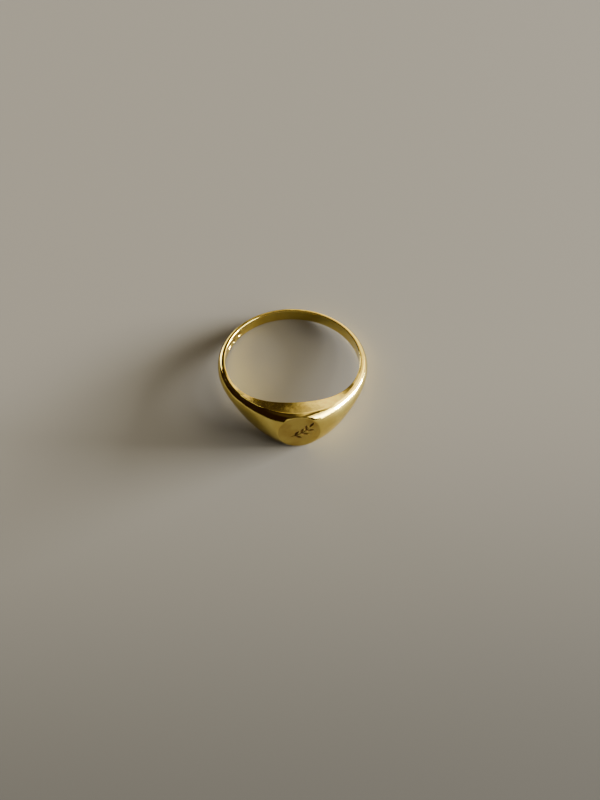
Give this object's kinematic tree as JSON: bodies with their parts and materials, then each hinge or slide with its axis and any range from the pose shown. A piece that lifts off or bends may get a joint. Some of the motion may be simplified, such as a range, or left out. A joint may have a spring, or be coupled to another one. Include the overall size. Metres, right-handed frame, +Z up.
{
  "type": "signet ring",
  "caption": "Slim polished signet ring with a small round engraved table, domed shoulders and a tapering D-section shank, lying on its side.",
  "frame": {"origin": "centre of the ring's footprint, on the surface that the ring lies on", "axes": "+Z up from the surface, -Y towards the head with its table, +X to the right of a viewer who faces the table"},
  "size_m": [0.0184, 0.0202, 0.0052],
  "materials": {
    "yellow_gold": "polished yellow gold, hand burnished, with fine wear scratches",
    "hard_solder": "polished hard gold solder, slightly paler than the gold"
  },
  "bodies": {
    "root": {"signet_head": "yellow_gold", "shank": "yellow_gold", "solder_seam_left": "hard_solder", "solder_seam_right": "hard_solder"}
  },
  "joints": []
}
